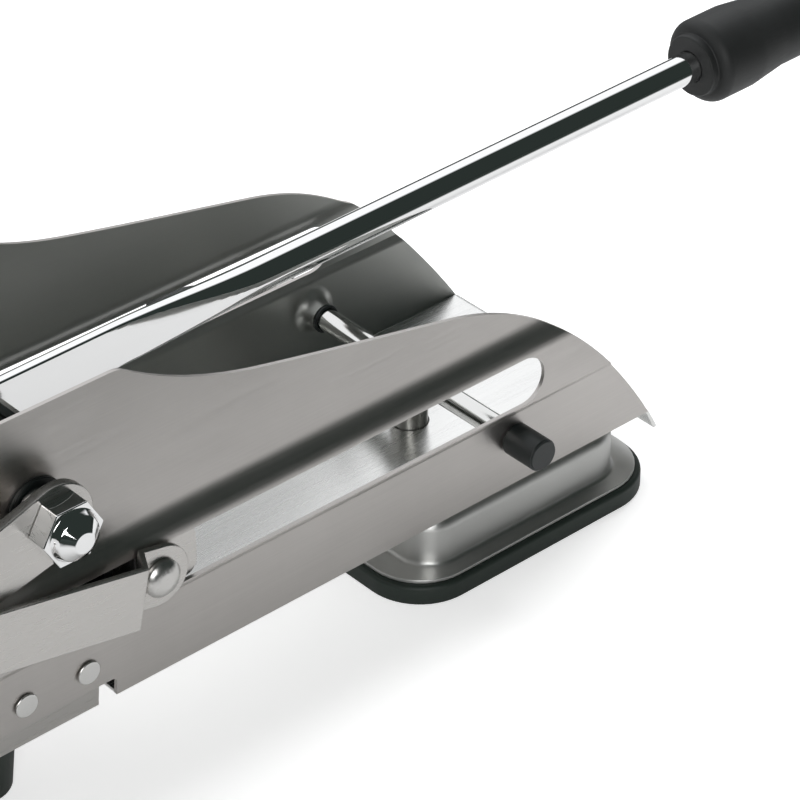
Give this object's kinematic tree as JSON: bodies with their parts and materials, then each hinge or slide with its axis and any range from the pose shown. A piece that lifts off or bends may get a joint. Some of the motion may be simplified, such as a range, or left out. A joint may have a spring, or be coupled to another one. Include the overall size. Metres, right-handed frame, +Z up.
{
  "type": "french fry cutter",
  "caption": "Bench-top lever tool: a folded steel trough on a suction foot, with a studded pusher that a hand lever runs through a grid of blades.",
  "frame": {"origin": "on the table, at the middle of the suction pad's flat underside", "axes": "+Z up from the table, +X towards the lip and the lever's grip, the blades at -X, +Y across to the side with the vacuum arm"},
  "size_m": [0.4542, 0.1262, 0.1232],
  "materials": {
    "sheet": "brushed",
    "plate": "satin",
    "bright": "polished",
    "blade": "ground",
    "rubber": "matt",
    "plastic": "semi-gloss",
    "grip": "matt"
  },
  "bodies": {
    "base": {"floor_tray": "sheet", "wall_near": "sheet", "wall_far": "sheet", "suction_housing": "sheet", "suction_pad": "rubber", "stud_seal": "rubber", "shaft_bushes": "plastic", "blade_frame": "sheet", "blades_upright": "blade", "blades_level": "blade", "blade_studs": "bright", "blade_nuts": "bright", "front_stand": "sheet", "front_feet": "rubber", "stand_rivets": "bright", "foot_screws": "bright"},
    "lever": {"lever_shaft": "bright", "crank_near": "plate", "crank_far": "plate", "crank_studs": "bright", "shaft_nuts": "bright", "shaft_sleeves": "bright", "lever_tube": "bright", "lever_collars": "bright", "handle_grip": "grip", "grip_cap": "plastic"},
    "pusher": {"pusher_frame": "sheet", "pusher_block": "plastic", "pusher_screws": "bright", "pusher_rivets": "bright"},
    "link_n": {"link_near": "plate", "link_pin_near": "bright"},
    "link_f": {"link_far": "plate", "link_pin_far": "bright"},
    "cam": {"cam_shaft": "bright", "shaft_cap": "plastic", "cam_collar": "plastic", "vacuum_arm": "plate", "vacuum_knob": "plastic"},
    "puller": {"pull_stud": "bright", "pull_plate": "plate"}
  },
  "joints": [
    {"name": "lever_pivot", "type": "hinge", "parent": "base", "child": "lever", "pos_m": [-0.1695, 0, 0.0947], "axis": [0, -1, 0], "range_deg": [0, 125]},
    {"name": "pusher_slide", "type": "slide", "parent": "base", "child": "pusher", "axis": [1, 0, 0], "range_m": [0, 0.1093]},
    {"name": "link_near_pivot", "type": "hinge", "parent": "pusher", "child": "link_n", "pos_m": [-0.1365, 0, 0.0596], "axis": [0, -1, 0], "range_deg": [0, 14.6]},
    {"name": "link_far_pivot", "type": "hinge", "parent": "pusher", "child": "link_f", "pos_m": [-0.1365, 0, 0.0596], "axis": [0, -1, 0], "range_deg": [0, 14.6]},
    {"name": "cam_pivot", "type": "hinge", "parent": "base", "child": "cam", "pos_m": [-0.0075, 0, 0.0405], "axis": [0, 1, 0], "range_deg": [0, 120]},
    {"name": "pull_lift", "type": "slide", "parent": "base", "child": "puller", "axis": [0, 0, 1], "range_m": [0, 0.001]}
  ],
  "couplings": [
    {"joint": "pusher_slide", "follows": "lever_pivot", "m_per_rad": 0.050052},
    {"joint": "link_near_pivot", "follows": "lever_pivot", "ratio": 0.11572},
    {"joint": "link_far_pivot", "follows": "lever_pivot", "ratio": 0.11572},
    {"joint": "pull_lift", "follows": "cam_pivot", "m_per_rad": 0.000477}
  ]
}
